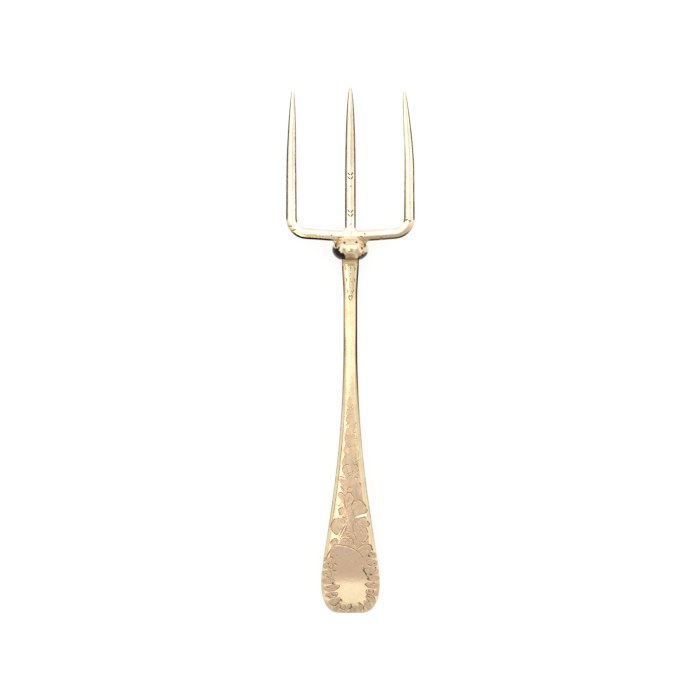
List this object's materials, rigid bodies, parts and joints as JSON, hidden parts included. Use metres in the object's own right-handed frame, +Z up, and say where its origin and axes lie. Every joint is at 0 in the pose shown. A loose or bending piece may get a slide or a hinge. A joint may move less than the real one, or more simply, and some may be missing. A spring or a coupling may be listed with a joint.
{
  "type": "bread fork",
  "caption": "Long-handled bread fork with slender pointed tines on a bent crossbar, a bun-shaped knop and a flat spatula handle with an engraved front and a turned-down end.",
  "frame": {"origin": "on the table under the fork as it lies face up, half way along its length and on its centre line", "axes": "+X across the tines, to the right as seen from above with the points away from the viewer; +Y along the fork towards the points; +Z up, out of the engraved face"},
  "size_m": [0.049, 0.2004, 0.014],
  "materials": {
    "silver_plate": "polished",
    "plated_solder": "polished"
  },
  "bodies": {
    "root": {"handle": "silver_plate", "knop": "silver_plate", "yoke": "silver_plate", "centre_tine": "silver_plate", "stem_fillet": "plated_solder", "tine_fillet_left": "plated_solder", "tine_fillet_right": "plated_solder", "saddle_fillet_left": "plated_solder", "saddle_fillet_right": "plated_solder"}
  },
  "joints": []
}
